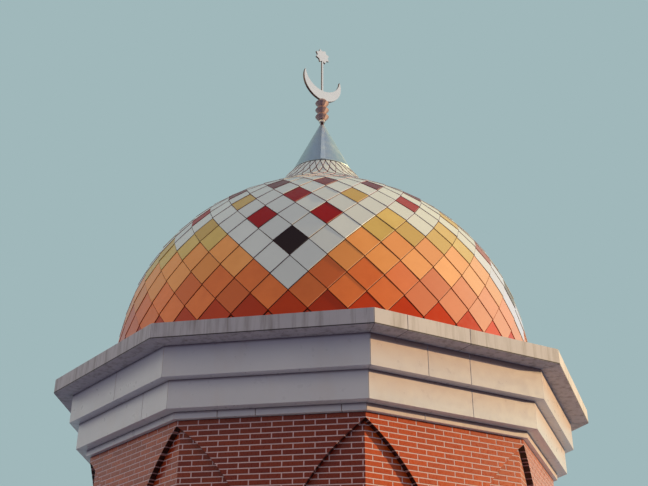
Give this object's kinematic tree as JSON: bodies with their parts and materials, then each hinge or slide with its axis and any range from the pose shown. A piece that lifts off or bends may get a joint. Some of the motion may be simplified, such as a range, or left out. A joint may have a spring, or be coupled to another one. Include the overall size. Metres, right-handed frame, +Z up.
{
  "type": "mosque dome on a brick drum",
  "caption": "Pointed dome clad in diamond tiles, with a metal cone and a crescent finial, on a many-sided red brick drum under a stepped stone cornice.",
  "frame": {"origin": "middle of the bounding box on the plane the drum stands on, 115 mm behind the dome's axis as the picture looks at it", "axes": "+Z up, parallel to the dome's axis; one flat face of the nine-sided drum looks towards -Y"},
  "size_m": [7.5278, 7.4134, 9.112],
  "materials": {
    "brick": "glossy red facing brick in pale mortar, stretcher bond",
    "slab_stone": "weathered cast stone with dark run-off stains",
    "render": "smooth off-white cast stone",
    "dome_tile": "glossy diamond tiles, white, red, orange, gold and black",
    "neck_tile": "small white leaf-shaped tiles with dark red joints",
    "cone_metal": "grey sheet metal, satin",
    "ball_metal": "dark red",
    "bead_metal": "dulled copper-coloured facets",
    "gilt_metal": "pale gilt, dark edges"
  },
  "bodies": {
    "root": {"wall_1": "brick", "brick_panel_1": "brick", "cornice_slab_1": "slab_stone", "wall_2": "brick", "brick_panel_2": "brick", "cornice_slab_2": "slab_stone", "wall_3": "brick", "brick_panel_3": "brick", "cornice_slab_3": "slab_stone", "wall_4": "brick", "brick_panel_4": "brick", "cornice_slab_4": "slab_stone", "wall_5": "brick", "brick_panel_5": "brick", "cornice_slab_5": "slab_stone", "wall_6": "brick", "brick_panel_6": "brick", "cornice_slab_6": "slab_stone", "wall_7": "brick", "brick_panel_7": "brick", "cornice_slab_7": "slab_stone", "wall_8": "brick", "brick_panel_8": "brick", "cornice_slab_8": "slab_stone", "wall_9": "brick", "brick_panel_9": "brick", "cornice_slab_9": "slab_stone", "bed_moulding": "render", "lower_frieze": "render", "upper_frieze": "render", "dome_gore_1": "dome_tile", "dome_gore_2": "dome_tile", "dome_gore_3": "dome_tile", "dome_gore_4": "dome_tile", "dome_gore_5": "dome_tile", "dome_gore_6": "dome_tile", "dome_gore_7": "dome_tile", "dome_gore_8": "dome_tile", "dome_neck": "neck_tile", "cone_cap": "cone_metal", "finial_ball": "ball_metal", "finial_collar": "gilt_metal", "finial_bead_1": "bead_metal", "finial_bead_2": "bead_metal", "finial_bead_3": "bead_metal", "crescent": "gilt_metal", "star_on_stem": "gilt_metal"}
  },
  "joints": []
}
